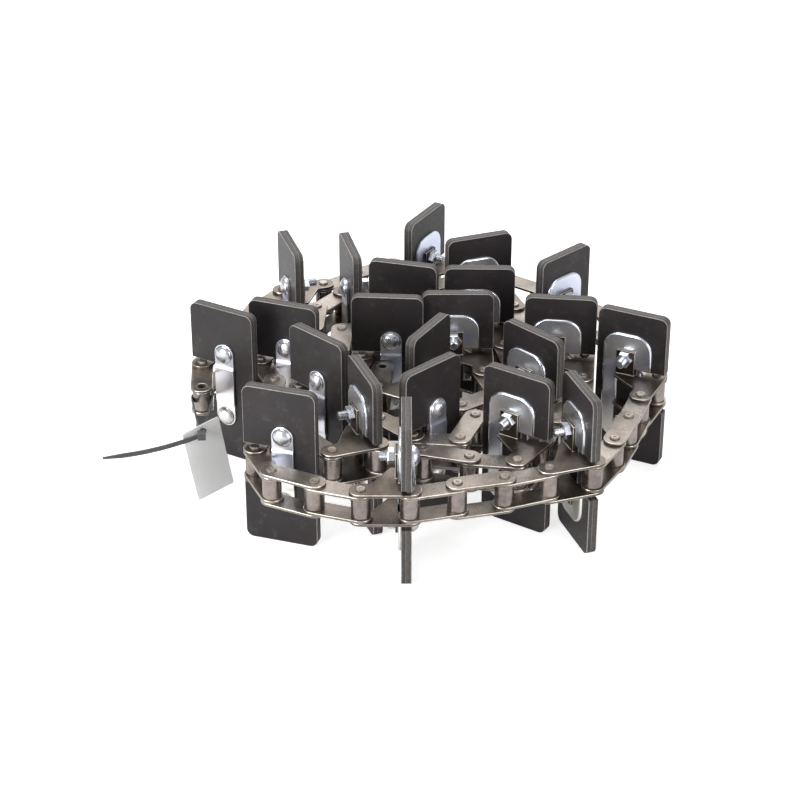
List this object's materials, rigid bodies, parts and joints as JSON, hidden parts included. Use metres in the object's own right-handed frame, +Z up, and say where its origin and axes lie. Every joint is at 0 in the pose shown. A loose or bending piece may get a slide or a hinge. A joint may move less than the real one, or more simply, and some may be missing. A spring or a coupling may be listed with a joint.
{
  "type": "conveyor chain",
  "caption": "Coiled roller chain with rubber paddles bolted across it, laid on its side, with an articulated free end.",
  "frame": {"origin": "centre of the open bore at the chain's free outer end, halfway up the links", "axes": "+Z up along the pins, +X to the right across the coil, +Y to the back"},
  "size_m": [0.5042, 0.4606, 0.152],
  "materials": {
    "link_steel": "oiled, satin",
    "roller_steel": "oiled, satin",
    "pin_steel": "satin",
    "zinc_plate": "bright zinc plated",
    "zinc_bolt": "bright zinc plated",
    "paddle_rubber": "matt, cut edges show the fabric plies",
    "card": "coated card, bare",
    "tie_nylon": "dark nylon"
  },
  "bodies": {
    "coil": {"backing_plate_9": "zinc_plate", "backing_plate_coil": "zinc_plate", "clamp_strap_9": "zinc_plate", "clamp_strap_coil": "zinc_plate", "coil_attachment_plates": "link_steel", "coil_inner_plates": "link_steel", "coil_outer_plates": "link_steel", "coil_rollers": "roller_steel", "cup_bolts_9": "zinc_bolt", "end_bush": "pin_steel", "end_plates": "link_steel", "first_coil_pin": "pin_steel", "first_coil_plates": "link_steel", "hex_nuts_9": "zinc_bolt", "paddle_9": "paddle_rubber", "paddle_coil": "paddle_rubber"},
    "link_0": {"bushes_0": "pin_steel", "cable_tie": "tie_nylon", "hang_card": "card", "inner_plates_0": "link_steel"},
    "link_1": {"attachment_plates_1": "link_steel", "backing_plate_1": "zinc_plate", "clamp_strap_1": "zinc_plate", "cup_bolts_1": "zinc_bolt", "hex_nuts_1": "zinc_bolt", "paddle_1": "paddle_rubber", "pins_1": "pin_steel"},
    "link_2": {"bushes_2": "pin_steel", "inner_plates_2": "link_steel"},
    "link_3": {"outer_plates_3": "link_steel", "pins_3": "pin_steel"},
    "link_4": {"bushes_4": "pin_steel", "inner_plates_4": "link_steel"},
    "link_5": {"attachment_plates_5": "link_steel", "backing_plate_5": "zinc_plate", "clamp_strap_5": "zinc_plate", "cup_bolts_5": "zinc_bolt", "hex_nuts_5": "zinc_bolt", "paddle_5": "paddle_rubber", "pins_5": "pin_steel"},
    "link_6": {"bushes_6": "pin_steel", "inner_plates_6": "link_steel"},
    "link_7": {"outer_plates_7": "link_steel", "pins_7": "pin_steel"},
    "link_8": {"bushes_8": "pin_steel", "inner_plates_8": "link_steel"},
    "roller_0": {"roller_0": "roller_steel"},
    "roller_1": {"roller_1": "roller_steel"},
    "roller_2": {"roller_2": "roller_steel"},
    "roller_3": {"roller_3": "roller_steel"},
    "roller_4": {"roller_4": "roller_steel"},
    "roller_5": {"roller_5": "roller_steel"},
    "roller_6": {"roller_6": "roller_steel"},
    "roller_7": {"roller_7": "roller_steel"},
    "roller_8": {"roller_8": "roller_steel"},
    "roller_9": {"roller_9": "roller_steel"},
    "end_roller": {"end_roller": "roller_steel"}
  },
  "joints": [
    {"name": "joint_1", "type": "hinge", "parent": "link_1", "child": "link_0", "pos_m": [-0.00217, 0.04134, 0], "axis": [0, 0, 1], "range_deg": [-20, 0]},
    {"name": "joint_2", "type": "hinge", "parent": "link_2", "child": "link_1", "pos_m": [0.01853, 0.0772, 0], "axis": [0, 0, 1], "range_deg": [-20, 0]},
    {"name": "joint_3", "type": "hinge", "parent": "link_3", "child": "link_2", "pos_m": [0.03064, 0.11679, 0], "axis": [0, 0, 1], "range_deg": [-20, 0]},
    {"name": "joint_4", "type": "hinge", "parent": "link_4", "child": "link_3", "pos_m": [0.04274, 0.15638, 0], "axis": [0, 0, 1], "range_deg": [-20, 0]},
    {"name": "joint_5", "type": "hinge", "parent": "link_5", "child": "link_4", "pos_m": [0.06529, 0.1911, 0], "axis": [0, 0, 1], "range_deg": [-20, 0]},
    {"name": "joint_6", "type": "hinge", "parent": "link_6", "child": "link_5", "pos_m": [0.10488, 0.2032, 0], "axis": [0, 0, 1], "range_deg": [-20, 0]},
    {"name": "joint_7", "type": "hinge", "parent": "link_7", "child": "link_6", "pos_m": [0.13879, 0.22695, 0], "axis": [0, 0, 1], "range_deg": [-20, 0]},
    {"name": "joint_8", "type": "hinge", "parent": "link_8", "child": "link_7", "pos_m": [0.17312, 0.2501, 0], "axis": [0, 0, 1], "range_deg": [-20, 0]},
    {"name": "joint_9", "type": "hinge", "parent": "coil", "child": "link_8", "pos_m": [0.21376, 0.258, 0], "axis": [0, 0, 1], "range_deg": [-20, 0]},
    {"name": "roller_0_spin", "type": "hinge", "parent": "link_0", "child": "roller_0", "pos_m": [0, 0, 0], "axis": [0, 0, 1], "continuous": true},
    {"name": "roller_1_spin", "type": "hinge", "parent": "link_0", "child": "roller_1", "pos_m": [-0.00217, 0.04134, 0], "axis": [0, 0, 1], "continuous": true},
    {"name": "roller_2_spin", "type": "hinge", "parent": "link_2", "child": "roller_2", "pos_m": [0.01853, 0.0772, 0], "axis": [0, 0, 1], "continuous": true},
    {"name": "roller_3_spin", "type": "hinge", "parent": "link_2", "child": "roller_3", "pos_m": [0.03064, 0.11679, 0], "axis": [0, 0, 1], "continuous": true},
    {"name": "roller_4_spin", "type": "hinge", "parent": "link_4", "child": "roller_4", "pos_m": [0.04274, 0.15638, 0], "axis": [0, 0, 1], "continuous": true},
    {"name": "roller_5_spin", "type": "hinge", "parent": "link_4", "child": "roller_5", "pos_m": [0.06529, 0.1911, 0], "axis": [0, 0, 1], "continuous": true},
    {"name": "roller_6_spin", "type": "hinge", "parent": "link_6", "child": "roller_6", "pos_m": [0.10488, 0.2032, 0], "axis": [0, 0, 1], "continuous": true},
    {"name": "roller_7_spin", "type": "hinge", "parent": "link_6", "child": "roller_7", "pos_m": [0.13879, 0.22695, 0], "axis": [0, 0, 1], "continuous": true},
    {"name": "roller_8_spin", "type": "hinge", "parent": "link_8", "child": "roller_8", "pos_m": [0.17312, 0.2501, 0], "axis": [0, 0, 1], "continuous": true},
    {"name": "roller_9_spin", "type": "hinge", "parent": "link_8", "child": "roller_9", "pos_m": [0.21376, 0.258, 0], "axis": [0, 0, 1], "continuous": true},
    {"name": "end_roller_spin", "type": "hinge", "parent": "coil", "child": "end_roller", "pos_m": [0.16436, 0.03773, 0], "axis": [0, 0, 1], "continuous": true}
  ]
}
